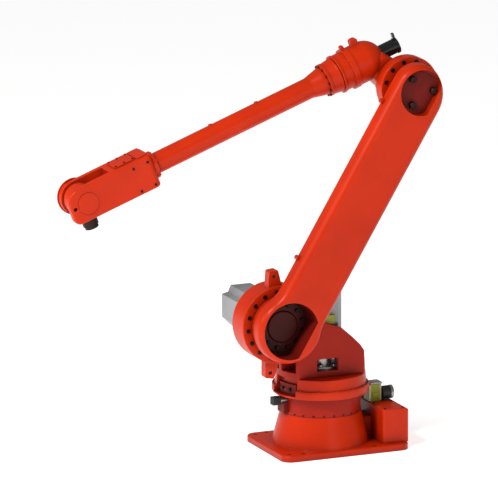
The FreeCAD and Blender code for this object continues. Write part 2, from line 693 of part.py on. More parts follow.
def elbow_gear_plate():
    """Round plate on the floor of the elbow pocket, held by three large screws."""
    y0 = ARM_FACE_Y - ELBOW_POCKET_DEPTH
    plate = y_bar(90, ELBOW_X, ARM_LENGTH, y0, y0 + 6)
    plate = plate.common(box(-ELBOW_FLAT, 200, y0, y0 + 6, 0, ARM_LENGTH * 2))
    for k in range(3):
        p = polar_xz(ELBOW_BOLT_R, ELBOW_BOLT_START + 120 * k, ELBOW_X, y0 + 6, ARM_LENGTH)
        plate = plate.fuse(Part.makeCylinder(15, 15, p, ALONG_Y))
    return place_arm(plate.removeSplitter())


# ---------------------------------------------------------------- elbow
def elbow_drum():
    """Housing of the axis 3 gear with its ring of screws, facing the lower arm."""
    drum = y_bar(ELBOW_DRUM_R, AXIS3_X, AXIS3_Z, ELBOW_DRUM_BACK_Y, ELBOW_DRUM_FRONT_Y)
    drum = drum.makeFillet(4, edges_at_y(drum, ELBOW_DRUM_FRONT_Y))
    for k in range(ELBOW_BOLTS):
        p = polar_xz(ELBOW_BOLT_RING_R, 360.0 / ELBOW_BOLTS * (k + 0.5), AXIS3_X,
                     ELBOW_DRUM_FRONT_Y - 12, AXIS3_Z)
        drum = drum.cut(Part.makeCylinder(6.5, 20, p, ALONG_Y))
    socket = y_bar(ELBOW_PIVOT_R + FIT, AXIS3_X, AXIS3_Z, ELBOW_DRUM_FRONT_Y - 40,
                   ELBOW_DRUM_FRONT_Y + 1)
    return drum.cut(socket)


def elbow_pivot():
    """Turning spigot of the lower arm in the axis 3 gear housing."""
    pin = y_bar(ELBOW_PIVOT_R, ELBOW_X, ARM_LENGTH, ELBOW_DRUM_FRONT_Y - 38, ELBOW_DRUM_FRONT_Y + GAP)
    return place_arm(pin)


def elbow_housing():
    """Casting that joins the axis 3 drum to the barrel of the forearm drive."""
    hub = cone(ELBOW_HUB_BACK_R, ELBOW_HUB_FRONT_R, V(AXIS3_X, ELBOW_HUB_BACK_Y, AXIS3_Z),
               V(AXIS3_X, ELBOW_DRUM_BACK_Y, AXIS3_Z))
    barrel = cylinder(BARREL_R, V(BARREL_DOME, 0, 0), V(BARREL_FRONT, 0, 0))
    dome = Part.makeSphere(BARREL_R, V(BARREL_DOME, 0, 0))
    dome = dome.cut(box(BARREL_DOME, BARREL_FRONT + 50, -100, 100, -100, 100))
    neck = prism_y([(-60, -OFFSET3), (88, -OFFSET3), (BARREL_DOME + 8, -64), (BARREL_DOME, 20),
                    (BARREL_DOME - 78, 20), (-14, -44)], -58, 78)
    neck = neck.makeFillet(30, [e for e in neck.Edges if e.BoundBox.YLength < 1e-4])
    lug = box(BARREL_DOME, BARREL_DOME + 36, -14, 14, 0, BARREL_R + 30)
    lug = lug.makeFillet(12, edges_along(lug, ALONG_Y, lambda m: m.z > BARREL_R))
    upper = place_forearm(fuse(barrel, dome, neck, lug))
    seat = y_bar(ELBOW_DRUM_R, AXIS3_X, AXIS3_Z, ELBOW_DRUM_BACK_Y, ELBOW_DRUM_FRONT_Y)
    return fuse(hub, upper).cut(seat)


def nose_flange():
    """Ring flange and sleeve at the front of the elbow barrel."""
    ring = revolve_x([(BARREL_FRONT, 0), (BARREL_FRONT, NOSE_FLANGE_R), (NOSE_FLANGE_END, NOSE_FLANGE_R),
                      (NOSE_FLANGE_END, SLEEVE_R), (SLEEVE_END - 9, SLEEVE_R), (SLEEVE_END - 9, SLEEVE_R + 4),
                      (SLEEVE_END, SLEEVE_R + 4), (SLEEVE_END, 50 + FIT),
                      (NOSE_FLANGE_END, 50 + FIT), (NOSE_FLANGE_END, 0)])
    small = box(BARREL_FRONT + 6, BARREL_FRONT + 24, -10, 10, NOSE_FLANGE_R - 8, NOSE_FLANGE_R + 18)
    small = small.makeFillet(6, edges_along(small, ALONG_Y, lambda m: m.z > NOSE_FLANGE_R))
    return place_forearm(fuse(ring, small))


def rear_tube():
    """Dark cable tube of axis 4, out of the back of the elbow barrel."""
    tube = cylinder(REAR_TUBE_R, V(REAR_TUBE_END + 10, 0, 0), V(REAR_TUBE_ROOT, 0, 0))
    return place_forearm(tube).cut(elbow_housing())


def rear_tube_flange():
    """End flange of the rear tube with a small tab."""
    disc = cylinder(REAR_FLANGE_R, V(REAR_TUBE_END, 0, 0), V(REAR_TUBE_END + 10, 0, 0))
    tab = box(REAR_TUBE_END, REAR_TUBE_END + 10, -8, 8, REAR_FLANGE_R - 6, REAR_FLANGE_R + 22)
    return place_forearm(fuse(disc, tab))


def axis3_motor():
    """Servo motor of axis 3 on the far side of the elbow."""
    points = [(AXIS3_X + a, AXIS3_Z + b) for a, b in notched_square(MOTOR3_HALF, 20.0, 24.0)]
    return prism_y(points, MOTOR3_END_Y, ELBOW_HUB_BACK_Y)


# ---------------------------------------------------------------- forearm
def roll_ring():
    """Turning ring of axis 4 with a spigot in the elbow's nose."""
    ring = revolve_x([(NOSE_FLANGE_END + 4, 0), (NOSE_FLANGE_END + 4, 50), (ROLL_RING_START, 50),
                      (ROLL_RING_START, ROLL_RING_R + 3), (ROLL_RING_START + 12, ROLL_RING_R),
                      (ROLL_RING_END - 14, ROLL_FLANGE_R - 3), (ROLL_RING_END - 14, ROLL_FLANGE_R),
                      (ROLL_RING_END, ROLL_FLANGE_R),
                      (ROLL_RING_END, 0)])
    return place_forearm(ring)


def forearm_tube():
    """Cast tube that tapers from the roll ring to the wrist."""
    bore = TUBE_R - TUBE_WALL
    tube = revolve_x([(ROLL_RING_END, 0), (ROLL_RING_END, CONE_START_R), (ROLL_RING_END + 12, CONE_START_R),
                      (CONE_END, TUBE_R), (TUBE_END, TUBE_R), (TUBE_END, bore),
                      (CONE_END + 10, bore), (CONE_END + 10, 0)])
    for s in (660, 897):
        tube = tube.fuse(cylinder(9, V(s, 0, TUBE_R - 4), V(s, 0, TUBE_R + 5)))
    return place_forearm(tube.removeSplitter())


def wrist_disc():
    """Round flange between the forearm tube and the wrist."""
    disc = revolve_x([(TUBE_END, 0), (TUBE_END, WRIST_DISC_R), (TUBE_END + WRIST_DISC_T, WRIST_DISC_R),
                      (TUBE_END + WRIST_DISC_T, 0)])
    return place_forearm(disc)


def wrist_fork():
    """Wrist casting: a block behind and two cheeks that hold axis 5."""
    w = FORK_HALF_WIDTH
    h = FORK_HALF_HEIGHT
    body = box(FORK_START, FORK_TIP, -w, w, -h, h)
    body = body.makeFillet(FORK_TIP_R, edges_along(body, ALONG_Y, lambda m: m.x > AXIS5 and m.z > 0))
    body = body.makeFillet(FORK_HEEL_R, edges_along(body, ALONG_Y, lambda m: m.x > AXIS5 and m.z < 0))
    body = body.makeFillet(FORK_REAR_R, edges_along(body, UP, lambda m: m.x < AXIS5))
    body = body.makeFillet(FORK_EDGE_R, edges_at_y(body, -w) + edges_at_y(body, w))
    slot = box(FORK_BLOCK_END, FORK_TIP + 1, -FORK_INNER, FORK_INNER, -h - 1, h + 1)
    body = body.cut(slot)
    # The far cheek ends in a full round about axis 5.
    corner = box(AXIS5, FORK_TIP + 1, -w - 1, -FORK_INNER + 1, -h - 1, h + 1)
    body = body.cut(corner.cut(y_bar(h, AXIS5, 0, -w - 2, -FORK_INNER + 2)))
    body = body.cut(y_bar(CHEEK_HOLE_R, CHEEK_HOLE_S, 0, w - 16, w + 1))
    body = body.cut(y_bar(WRIST_PIN_R + FIT, AXIS5, 0, -w + 14, w - 14))
    return place_forearm(body)


def wrist_top_cover():
    """Flat cover plate on top of the wrist block."""
    h = FORK_HALF_HEIGHT
    long = box(FORK_START + 70, FORK_BLOCK_END - 30, -52, 52, h, h + 6)
    return place_forearm(long.makeFillet(8, edges_along(long, UP)))


def wrist_top_flange():
    """Raised pad at the rear of the wrist block."""
    h = FORK_HALF_HEIGHT
    short = box(FORK_START + 12, FORK_START + 64, -60, 60, h, h + 5)
    return place_forearm(short.makeFillet(8, edges_along(short, UP)))


def wrist_far_cap():
    """Round belt cover outside the far cheek."""
    far = y_bar(FAR_CAP_R, AXIS5, 0, -FORK_HALF_WIDTH - FAR_CAP_T, -FORK_HALF_WIDTH)
    far = far.makeFillet(5, edges_at_y(far, -FORK_HALF_WIDTH - FAR_CAP_T))
    return place_forearm(far)


def wrist_near_cap():
    """Low round bearing cover on the near cheek."""
    near = y_bar(NEAR_CAP_R, AXIS5, 0, FORK_HALF_WIDTH, FORK_HALF_WIDTH + NEAR_CAP_T)
    return place_forearm(near)


# ---------------------------------------------------------------- wrist and tool flange
def place_tool(shape):
    """From axis 5, with the tool square to the forearm along -Z, to the robot."""
    placed = shape.copy()
    placed.translate(V(AXIS5, 0, 0))
    return place_forearm(placed)


def wrist_block():
    """Tilting block of axis 5 between the cheeks, with a neck for the tool flange."""
    half = WRIST_BLOCK_HALF
    block = y_bar(WRIST_BLOCK_R, 0, 0, -half, half)
    block = block.makeFillet(6, edges_at_y(block, half) + edges_at_y(block, -half))
    pin = y_bar(WRIST_PIN_R, 0, 0, -FORK_HALF_WIDTH + 16, FORK_HALF_WIDTH - 16)
    neck = cylinder(NECK_R, V(0, 0, 0), V(0, 0, -NECK_END))
    socket = cylinder(SPIGOT_R + FIT, V(0, 0, -NECK_END + SPIGOT_LENGTH), V(0, 0, -NECK_END - 1))
    return place_tool(fuse(block, pin, neck).cut(socket))


def tool_flange():
    """Turning tool flange of axis 6 with its centring bore and four screw holes."""
    top = -NECK_END - 2
    drum = cylinder(FLANGE_DRUM_R, V(0, 0, top), V(0, 0, -FLANGE_DRUM_END))
    disc = cylinder(FLANGE_R, V(0, 0, -FLANGE_DRUM_END), V(0, 0, -FLANGE_FACE))
    spigot = cylinder(SPIGOT_R, V(0, 0, top + SPIGOT_LENGTH), V(0, 0, top))
    flange = fuse(drum, disc, spigot)
    pilot = cylinder(FLANGE_PILOT_R, V(0, 0, -FLANGE_FACE + FLANGE_PILOT_DEPTH),
                     V(0, 0, -FLANGE_FACE - 1))
    flange = flange.cut(pilot)
    for k in range(4):
        p = polar(FLANGE_BOLT_RING_R, 45 + 90 * k, V(0, 0, -FLANGE_FACE - 1))
        flange = flange.cut(Part.makeCylinder(FLANGE_BOLT_R, 13, p, UP))
    return place_tool(flange)


NODES = {
    "base_casting": base_casting,
    "axis1_gear_ring": axis1_gear_ring,
    "stop_bracket": stop_bracket,
    "stop_bush": stop_bush,
    "stop_buffer": stop_buffer,
    "connection_box": connection_box,
    "box_rear_cover": box_rear_cover,
    "power_connector": power_connector,
    "power_connector_cap": power_connector_cap,
    "signal_connector": signal_connector,
    "signal_connector_ring": signal_connector_ring,
    "turret_skirt": turret_skirt,
    "skirt_pocket_bracket": skirt_pocket_bracket,
    "turret_casting": turret_casting,
    "axis1_gear_cover": axis1_gear_cover,
    "axis1_motor": axis1_motor,
    "axis1_motor_end_cover": axis1_motor_end_cover,
    "axis1_power_plug": axis1_power_plug,
    "axis1_signal_plug": axis1_signal_plug,
    "axis2_gear_housing": axis2_gear_housing,
    "axis2_motor": axis2_motor,
    "axis2_motor_flange": axis2_motor_flange,
    "axis2_motor_end_cover": axis2_motor_end_cover,
    "axis2_gear_shaft": axis2_gear_shaft,
    "lower_arm": lower_arm,
    "arm_lugs": arm_lugs,
    "hub_bearing_ring": hub_bearing_ring,
    "hub_gear_cap": hub_gear_cap,
    "elbow_gear_plate": elbow_gear_plate,
    "elbow_pivot": elbow_pivot,
    "elbow_drum": elbow_drum,
    "elbow_housing": elbow_housing,
    "nose_flange": nose_flange,
    "rear_tube": rear_tube,
    "rear_tube_flange": rear_tube_flange,
    "axis3_motor": axis3_motor,
    "roll_ring": roll_ring,
    "forearm_tube": forearm_tube,
    "wrist_disc": wrist_disc,
    "wrist_fork": wrist_fork,
    "wrist_top_cover": wrist_top_cover,
    "wrist_top_flange": wrist_top_flange,
    "wrist_far_cap": wrist_far_cap,
    "wrist_near_cap": wrist_near_cap,
    "wrist_block": wrist_block,
    "tool_flange": tool_flange,
}

os.makedirs("parts", exist_ok=True)
for node, build in NODES.items():
    build().exportStep("parts/%s.step" % node)
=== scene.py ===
import json
import math

import bmesh
import bpy
from mathutils import Matrix, Vector


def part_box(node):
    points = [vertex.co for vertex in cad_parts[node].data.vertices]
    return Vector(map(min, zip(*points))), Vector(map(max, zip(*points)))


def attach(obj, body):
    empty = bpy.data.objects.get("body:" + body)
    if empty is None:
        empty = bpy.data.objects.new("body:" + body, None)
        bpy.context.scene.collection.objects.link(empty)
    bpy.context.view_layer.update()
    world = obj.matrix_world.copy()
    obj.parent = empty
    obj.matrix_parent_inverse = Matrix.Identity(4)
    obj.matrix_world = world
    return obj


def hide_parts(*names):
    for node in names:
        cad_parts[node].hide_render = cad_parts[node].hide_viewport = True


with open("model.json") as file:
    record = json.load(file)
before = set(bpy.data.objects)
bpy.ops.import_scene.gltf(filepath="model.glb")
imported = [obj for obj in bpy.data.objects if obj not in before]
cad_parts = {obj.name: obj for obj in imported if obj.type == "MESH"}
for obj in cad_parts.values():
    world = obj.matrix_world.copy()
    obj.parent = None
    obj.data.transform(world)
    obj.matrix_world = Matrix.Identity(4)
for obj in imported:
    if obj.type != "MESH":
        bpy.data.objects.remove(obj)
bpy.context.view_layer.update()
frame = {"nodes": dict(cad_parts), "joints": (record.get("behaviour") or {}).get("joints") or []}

# ---------------------------------------------------------------- studio floor, lights and camera
# A matt white floor sheet, lit from within like a light table, under three round soft panels:
# the main one high in front of the arm, a weaker one low in front and a weak one to the side.
# The long lens stands far off and a little above the arm.
FLOOR_HALF = 90.0
CAMERA_PLACE = (14.012, 32.153, 9.168)
CAMERA_RIGHT = Vector((-0.92002, 0.39185, -0.00346))
CAMERA_BACK = Vector((0.38070, 0.89587, 0.22907))
CAMERA_LENS = 578.3


def srgb(code):
    """Colour socket value, linear, from an sRGB hex code."""
    linear = []
    for start in (1, 3, 5):
        c = int(code[start:start + 2], 16) / 255.0
        linear.append(c / 12.92 if c <= 0.04045 else ((c + 0.055) / 1.055) ** 2.4)
    return (*linear, 1.0)


def add(tree, kind, links=None, **settings):
    """New node of this kind. links gives a socket's value, or another node's output to join."""
    made = tree.nodes.new(kind)
    for key, value in settings.items():
        setattr(made, key, value)
    for key, value in (links or {}).items():
        if isinstance(value, bpy.types.NodeSocket):
            tree.links.new(value, made.inputs[key])
        else:
            made.inputs[key].default_value = value
    return made


def material_tree(name):
    """Empty node material and its tree."""
    made = bpy.data.materials.new(name)
    made.use_nodes = True
    made.node_tree.nodes.clear()
    return made, made.node_tree


def studio_sheet():
    """Matt white backdrop paper over a light table: smooth, even and softly glowing."""
    made, tree = material_tree("white_backdrop_paper")
    place = add(tree, "ShaderNodeTexCoord").outputs["Object"]
    mottle = add(tree, "ShaderNodeTexNoise", {"Vector": place, "Scale": 0.8, "Detail": 2.0})
    tone = add(tree, "ShaderNodeMix", {0: mottle.outputs["Fac"], 6: srgb("#F4F4F3"), 7: srgb("#F8F8F8")},
               data_type="RGBA")
    face = add(tree, "ShaderNodeBsdfPrincipled", {"Base Color": tone.outputs[2], "Roughness": 0.95,
                                                 "Emission Color": srgb("#FFFFFF"), "Emission Strength": 0.68})
    add(tree, "ShaderNodeOutputMaterial", {"Surface": face.outputs[0]})
    return made


floor_mesh = bpy.data.meshes.new("studio_floor")
corners = [(x * FLOOR_HALF, y * FLOOR_HALF, 0.0) for x, y in ((-1, -1), (1, -1), (1, 1), (-1, 1))]
floor_mesh.from_pydata(corners, [], [(0, 1, 2, 3)])
floor_mesh.materials.append(studio_sheet())
floor = bpy.data.objects.new("studio_floor", floor_mesh)
bpy.context.scene.collection.objects.link(floor)

for name, place, size, power, tint in (
        ("overhead_panel", (4.4, 2.7, 6.0), 1.3, 360.0, "#FFFFFF"),
        ("front_panel", (4.8, -0.6, 3.0), 1.6, 60.0, "#FFFDF8"),
        ("near_panel", (-1.0, 7.0, 2.2), 3.0, 35.0, "#FFFFFF")):
    lamp = bpy.data.lights.new(name, "AREA")
    lamp.shape = "DISK"
    lamp.size = size
    lamp.energy = power
    lamp.color = srgb(tint)[:3]
    holder = bpy.data.objects.new(name, lamp)
    holder.location = place
    aim = Vector((0.1, 0.0, 0.9)) - Vector(place)
    holder.rotation_euler = aim.to_track_quat("-Z", "Y").to_euler()
    bpy.context.scene.collection.objects.link(holder)

room = bpy.data.worlds.new("white_studio")
room.use_nodes = True
room.node_tree.nodes["Background"].inputs["Color"].default_value = srgb("#FFFFFF")
room.node_tree.nodes["Background"].inputs["Strength"].default_value = 0.25
bpy.context.scene.world = room
bpy.context.scene.view_settings.view_transform = "Standard"

lens = bpy.data.cameras.new("long_lens")
lens.lens = CAMERA_LENS
lens.clip_end = 400.0
camera = bpy.data.objects.new("long_lens", lens)
camera_up = CAMERA_BACK.cross(CAMERA_RIGHT)
turned = Matrix((CAMERA_RIGHT, camera_up, CAMERA_BACK)).transposed().to_4x4()
camera.matrix_world = Matrix.Translation(CAMERA_PLACE) @ turned
bpy.context.scene.collection.objects.link(camera)
bpy.context.scene.camera = camera

# ---------------------------------------------------------------- floor plate, pedestal and gear ring
# Grey iron castings, shot-blasted, filled and sprayed with two coats of orange-red two-pack enamel.
# The gear ring is turned on its rim and stands on the pedestal on a ring of screws.
MM = 0.001
SHARP_ANGLE = 34.0        # casting edges steeper than this stay crisp


def cast_enamel(name, face, deep, worn_edge_and_highlight, gloss):
    """Two-pack polyurethane enamel sprayed on cast iron: a satin skin with soft orange peel.

    The sand casting shows through as broad low waves about 25 mm across. Peel is 2 mm on the
    real thing and drawn 7 mm wide to show. Edges are painted lighter, partly for thin rubbed
    paint and partly as a painted highlight. Inside corners are painted darker by occlusion,
    partly for dust and partly as painted shade.
    """
    made, tree = material_tree(name)
    place = add(tree, "ShaderNodeTexCoord").outputs["Object"]
    patches = add(tree, "ShaderNodeTexNoise", {"Vector": place, "Scale": 5.0, "Detail": 3.0})
    waves = add(tree, "ShaderNodeTexNoise", {"Vector": place, "Scale": 1 / 0.025, "Detail": 2.0})
    peel = add(tree, "ShaderNodeTexNoise", {"Vector": place, "Scale": 1 / 0.007, "Detail": 1.0})
    height = add(tree, "ShaderNodeMath", {0: waves.outputs["Fac"], 1: peel.outputs["Fac"]},
                 operation="ADD")
    soft_edge = add(tree, "ShaderNodeBevel", {"Radius": 3.0 * MM}, samples=4)
    skin = add(tree, "ShaderNodeBump", {"Height": height.outputs[0], "Distance": 0.25 * MM,
                                        "Strength": 0.35, "Normal": soft_edge.outputs[0]})
    true_normal = add(tree, "ShaderNodeNewGeometry").outputs["Normal"]
    turned_by = add(tree, "ShaderNodeVectorMath", {0: soft_edge.outputs[0], 1: true_normal},
                    operation="DOT_PRODUCT")
    # Edge mask: edges turn towards the lighter colour, partly for paint wear and partly as a painted
    # highlight.
    edge = add(tree, "ShaderNodeMapRange", {"Value": turned_by.outputs["Value"], "From Min": 0.995,
                                            "From Max": 0.90, "To Min": 0.0, "To Max": 0.55})
    corner = add(tree, "ShaderNodeAmbientOcclusion", {"Distance": 60.0 * MM}, samples=6)
    # Occlusion darkens inside corners and pockets towards the deep colour: partly dust, partly painted shade.
    dust_and_corner_shade = add(tree, "ShaderNodeMapRange", {"Value": corner.outputs["AO"], "From Min": 0.25,
                                            "From Max": 0.95, "To Min": 0.75, "To Max": 0.0})
    cloud = add(tree, "ShaderNodeMapRange", {"Value": patches.outputs["Fac"], "From Min": 0.35,
                                             "From Max": 0.7, "To Min": 0.0, "To Max": 0.16})
    toned = add(tree, "ShaderNodeMix", {0: cloud.outputs[0], 6: srgb(face), 7: srgb(deep)},
                data_type="RGBA")
    dust_and_shade_toned = add(tree, "ShaderNodeMix", {0: dust_and_corner_shade.outputs[0], 6: toned.outputs[2], 7: srgb(deep)},
                 data_type="RGBA")
    rubbed = add(tree, "ShaderNodeMix", {0: edge.outputs[0], 6: dust_and_shade_toned.outputs[2], 7: srgb(worn_edge_and_highlight)},
                 data_type="RGBA")
    shine = add(tree, "ShaderNodeMapRange", {"Value": waves.outputs["Fac"], "To Min": gloss - 0.05,
                                             "To Max": gloss + 0.08})
    coat = add(tree, "ShaderNodeBsdfPrincipled", {
        "Base Color": rubbed.outputs[2], "Roughness": shine.outputs[0], "IOR": 1.5,
        "Specular IOR Level": 0.14, "Coat Weight": 0.05, "Coat Roughness": 0.18, "Normal": skin.outputs[0]})
    add(tree, "ShaderNodeOutputMaterial", {"Surface": coat.outputs[0]})
    return made


RED = cast_enamel("orange_red_enamel_on_cast_iron", "#C92C04", "#5E0F04", "#F2552A", 0.36)
# The same enamel, darker and duller, as painted shade on the castings in the arm's shadow and under the
# turret's lip.
PAINTED_SHADE_RED = cast_enamel("orange_red_enamel_with_painted_shade", "#A81E0A", "#4A0C04", "#D0401E", 0.42)
# This dark red also serves as painted shade on the walls of the arm's hub pocket.
DARK_RED = cast_enamel("dark_red_enamel_on_steel", "#7A160C", "#3A0A06", "#9A3222", 0.5)
# Dull oiled primer, left on machined faces that no one sees closed up.
MAROON = cast_enamel("oiled_maroon_primer_on_steel", "#4A0E08", "#1E0503", "#6A1C12", 0.42)


def smooth_by_angle(work):
    """Smooth shading that breaks at the real edges."""
    for face in work.faces:
        face.smooth = True
    for edge in work.edges:
        edge.smooth = len(edge.link_faces) == 2 and edge.calc_face_angle(0.0) < math.radians(SHARP_ANGLE)


def keep_flats_flat(piece):
    """Large flat faces keep their own normal where a round edge runs into them."""
    even = piece.modifiers.new("even_shading", "WEIGHTED_NORMAL")
    even.keep_sharp = True
    even.weight = 60


def dress(node, body, material):
    """Merged copy of a construction solid, smooth where it is round, in its own finish."""
    mesh = frame["nodes"][node].data.copy()
    work = bmesh.new()
    work.from_mesh(mesh)
    bmesh.ops.remove_doubles(work, verts=work.verts, dist=0.02 * MM)
    smooth_by_angle(work)
    work.to_mesh(mesh)
    work.free()
    mesh.materials.clear()
    mesh.materials.append(material)
    mesh.polygons.foreach_set("material_index", [0] * len(mesh.polygons))
    piece = bpy.data.objects.new(node + "_finished", mesh)
    bpy.context.scene.collection.objects.link(piece)
    keep_flats_flat(piece)
    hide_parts(node)
    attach(piece, body)
    return piece


dress("base_casting", "base", RED)
# The gear ring takes the darker enamel: painted shade under the turret's lip.
dress("axis1_gear_ring", "base", PAINTED_SHADE_RED)


def black_steel(name, face, rubbed):
    """Heat-blackened alloy steel, as on socket screws: nearly black, with an oily dull shine.

    Forging scale is under 1 mm and drawn as 3 mm spots of rougher and smoother black.
    """
    made, tree = material_tree(name)
    place = add(tree, "ShaderNodeTexCoord").outputs["Object"]
    spots = add(tree, "ShaderNodeTexNoise", {"Vector": place, "Scale": 1 / 0.003, "Detail": 2.0})
    tone = add(tree, "ShaderNodeMix", {0: spots.outputs["Fac"], 6: srgb(face), 7: srgb(rubbed)},
               data_type="RGBA")
    rough = add(tree, "ShaderNodeMapRange", {"Value": spots.outputs["Fac"], "To Min": 0.32,
                                             "To Max": 0.55})
    soft_edge = add(tree, "ShaderNodeBevel", {"Radius": 0.8 * MM}, samples=3)
    skin = add(tree, "ShaderNodeBump", {"Height": spots.outputs["Fac"], "Distance": 0.1 * MM,
                                        "Strength": 0.3, "Normal": soft_edge.outputs[0]})
    metal = add(tree, "ShaderNodeBsdfPrincipled", {
        "Base Color": tone.outputs[2], "Metallic": 0.9, "Roughness": rough.outputs[0],
        "Normal": skin.outputs[0]})
    add(tree, "ShaderNodeOutputMaterial", {"Surface": metal.outputs[0]})
    return made


BLACK_STEEL = black_steel("blackened_alloy_steel", "#241A17", "#3A2E2A")


def socket_head(tree, inputs):
    """Socket screw head standing on z = 0: a chamfered drum with a hexagonal recess."""
    drum = add(tree, "GeometryNodeMeshCone", {
        "Vertices": 20, "Radius Top": inputs["Head radius"], "Radius Bottom": inputs["Head radius"],
        "Depth": inputs["Head height"]})
    rim = add(tree, "ShaderNodeMath", {0: inputs["Head height"], 1: 0.14}, operation="MULTIPLY")
    raised = add(tree, "GeometryNodeExtrudeMesh", {
        "Mesh": drum.outputs["Mesh"], "Selection": drum.outputs["Top"], "Offset Scale": rim.outputs[0]})
    crown = add(tree, "GeometryNodeScaleElements", {
        "Geometry": raised.outputs["Mesh"], "Selection": raised.outputs["Top"], "Scale": 0.86})
    key = add(tree, "GeometryNodeMeshCone", {
        "Vertices": 6, "Radius Top": inputs["Key radius"], "Radius Bottom": inputs["Key radius"],
        "Depth": inputs["Head height"]})
    half = add(tree, "ShaderNodeMath", {0: inputs["Head height"], 1: 0.4}, operation="MULTIPLY")
    lift = add(tree, "ShaderNodeCombineXYZ", {"Z": half.outputs[0]})
    sunk = add(tree, "GeometryNodeTransform", {"Geometry": key.outputs["Mesh"],
                                               "Translation": lift.outputs[0]})
    return add(tree, "GeometryNodeMeshBoolean", {"Mesh 1": crown.outputs[0], "Mesh 2": sunk.outputs[0]},
               operation="DIFFERENCE").outputs["Mesh"]


def screw_tree(layout):
    """Node tree of a pattern of socket screws, in a ring or in rows, turned at random."""
    tree = bpy.data.node_groups.new("socket_screws_in_" + layout, "GeometryNodeTree")
    sizes = {"Head radius": 0.008, "Head height": 0.006, "Key radius": 0.004}
    sizes.update({"Ring radius": 0.1, "First angle": 0.0} if layout == "ring"
                 else {"Length": 0.1, "Width": 0.1})
    counts = {"Count": 12} if layout == "ring" else {"Along": 2, "Across": 2}
    for name, value in sizes.items():
        tree.interface.new_socket(name, in_out="INPUT", socket_type="NodeSocketFloat").default_value = value
    for name, value in counts.items():
        tree.interface.new_socket(name, in_out="INPUT", socket_type="NodeSocketInt").default_value = value
    tree.interface.new_socket("Finish", in_out="INPUT", socket_type="NodeSocketMaterial")
    tree.interface.new_socket("Geometry", in_out="OUTPUT", socket_type="NodeSocketGeometry")
    inputs = add(tree, "NodeGroupInput").outputs
    if layout == "ring":
        circle = add(tree, "GeometryNodeMeshCircle", {"Vertices": inputs["Count"],
                                                      "Radius": inputs["Ring radius"]})
        turn = add(tree, "ShaderNodeCombineXYZ", {"Z": inputs["First angle"]})
        points = add(tree, "GeometryNodeTransform", {"Geometry": circle.outputs[0],
                                                     "Rotation": turn.outputs[0]})
    else:
        points = add(tree, "GeometryNodeMeshGrid", {
            "Size X": inputs["Length"], "Size Y": inputs["Width"],
            "Vertices X": inputs["Along"], "Vertices Y": inputs["Across"]})
    spin = add(tree, "FunctionNodeRandomValue", {"Seed": 7}, data_type="FLOAT")
    spin.inputs[3].default_value = math.radians(60)
    facing = add(tree, "ShaderNodeCombineXYZ", {"Z": spin.outputs[1]})
    screws = add(tree, "GeometryNodeInstanceOnPoints", {
        "Points": points.outputs[0], "Instance": socket_head(tree, inputs), "Rotation": facing.outputs[0]})
    solid = add(tree, "GeometryNodeRealizeInstances", {"Geometry": screws.outputs[0]})
    painted = add(tree, "GeometryNodeSetMaterial", {"Geometry": solid.outputs[0],
                                                    "Material": inputs["Finish"]})
    add(tree, "NodeGroupOutput", {"Geometry": painted.outputs[0]})
    return tree


SCREW_TREES = {layout: screw_tree(layout) for layout in ("ring", "rows")}


def seat(place_mm, outwards, first, base=Matrix.Identity(4)):
    """Placement with +Z outwards and +X towards the first screw, in millimetres of a base frame."""
    z = Vector(outwards).normalized()
    x = Vector(first)
    x = (x - z * x.dot(z)).normalized()
    turn = Matrix((x, z.cross(x), z)).transposed().to_4x4()
    return base @ Matrix.Translation(Vector(place_mm) * MM) @ turn


def screws(name, body, layout, placing, material=None, slot="dark_steel", **sizes):
    """Socket screws made by the node tree, turned into one plain mesh and put in place."""
    tree = SCREW_TREES[layout]
    holder = bpy.data.objects.new(name + "_points", bpy.data.meshes.new(name + "_points"))
    bpy.context.scene.collection.objects.link(holder)
    pattern = holder.modifiers.new("screws", "NODES")
    pattern.node_group = tree
    sockets = {s.name: s.identifier for s in tree.interface.items_tree if s.in_out == "INPUT"}
    pattern[sockets["Finish"]] = material or BLACK_STEEL
    for label, value in sizes.items():
        pattern[sockets[label.replace("_", " ")]] = value
    graph = bpy.context.evaluated_depsgraph_get()
    mesh = bpy.data.meshes.new_from_object(holder.evaluated_get(graph), depsgraph=graph)
    holder.modifiers.remove(pattern)
    bpy.data.objects.remove(holder)
    mesh.transform(placing)
    work = bmesh.new()
    work.from_mesh(mesh)
    smooth_by_angle(work)
    work.to_mesh(mesh)
    work.free()
    piece = bpy.data.objects.new(name, mesh)
    bpy.context.scene.collection.objects.link(piece)
    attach(piece, body)
    return piece


UP = (0, 0, 1)
TOWARDS_ARM = (0, 1, 0)
screws("gear_ring_side_screws", "base", "ring", seat((0, 0, 176), UP, (1, 0.2, 0)), Ring_radius=0.1795,
       Head_radius=0.0045, Head_height=0.006, Key_radius=0.002, Count=24)

# ---------------------------------------------------------------- rotation stop
# The stop of the base's rotation: a painted angle bracket, a turned steel carrier and a square
# block of moulded rubber that the turret runs against.


